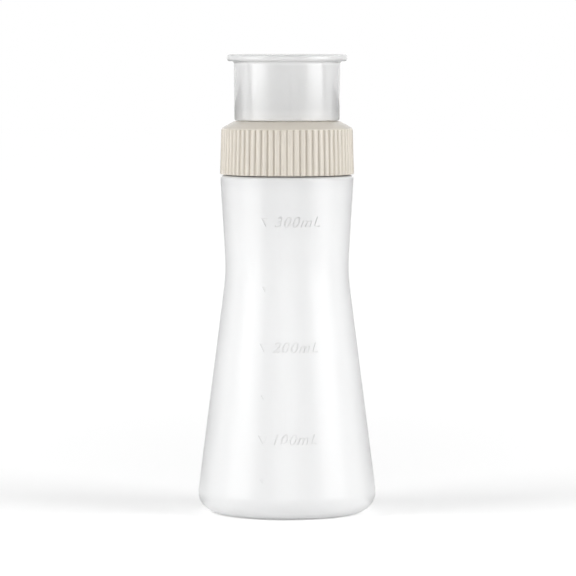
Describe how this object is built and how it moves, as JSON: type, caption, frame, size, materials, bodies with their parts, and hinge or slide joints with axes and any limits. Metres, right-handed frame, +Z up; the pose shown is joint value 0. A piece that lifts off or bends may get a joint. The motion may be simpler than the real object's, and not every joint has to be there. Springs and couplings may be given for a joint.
{
  "type": "squeeze bottle",
  "caption": "Waisted translucent squeeze bottle with a ribbed screw collar, a nozzle insert and a frosted lift-off dust cover.",
  "frame": {"origin": "middle of the base, on the plane that the bottle stands on", "axes": "+Z up along the bottle's axis, towards the dust cover; the graduation marks face -Y"},
  "size_m": [0.0714, 0.0714, 0.1839],
  "materials": {
    "bottle_body": "natural translucent blown plastic, satin gloss",
    "insert_soft": "soft translucent moulded plastic, satin",
    "collar_beige": "beige moulded plastic, satin",
    "cover_frosted": "frosted clear moulded plastic"
  },
  "bodies": {
    "bottle": {"bottle": "bottle_body"},
    "nozzle_insert": {"nozzle_insert": "insert_soft"},
    "screw_collar": {"screw_collar": "collar_beige"},
    "dust_cover": {"dust_cover": "cover_frosted"}
  },
  "joints": [
    {"name": "closure_lift", "type": "slide", "parent": "bottle", "child": "nozzle_insert", "axis": [0, 0, 1], "range_m": [0, 0.008]},
    {"name": "collar_turn", "type": "hinge", "parent": "nozzle_insert", "child": "screw_collar", "pos_m": [0, 0, 0.1363], "axis": [0, 0, 1], "range_deg": [0, 720]},
    {"name": "cover_lift", "type": "slide", "parent": "screw_collar", "child": "dust_cover", "axis": [0, 0, 1], "range_m": [0, 0.04]}
  ],
  "couplings": [
    {"joint": "collar_turn", "follows": "closure_lift", "rad_per_m": 1570.8}
  ]
}
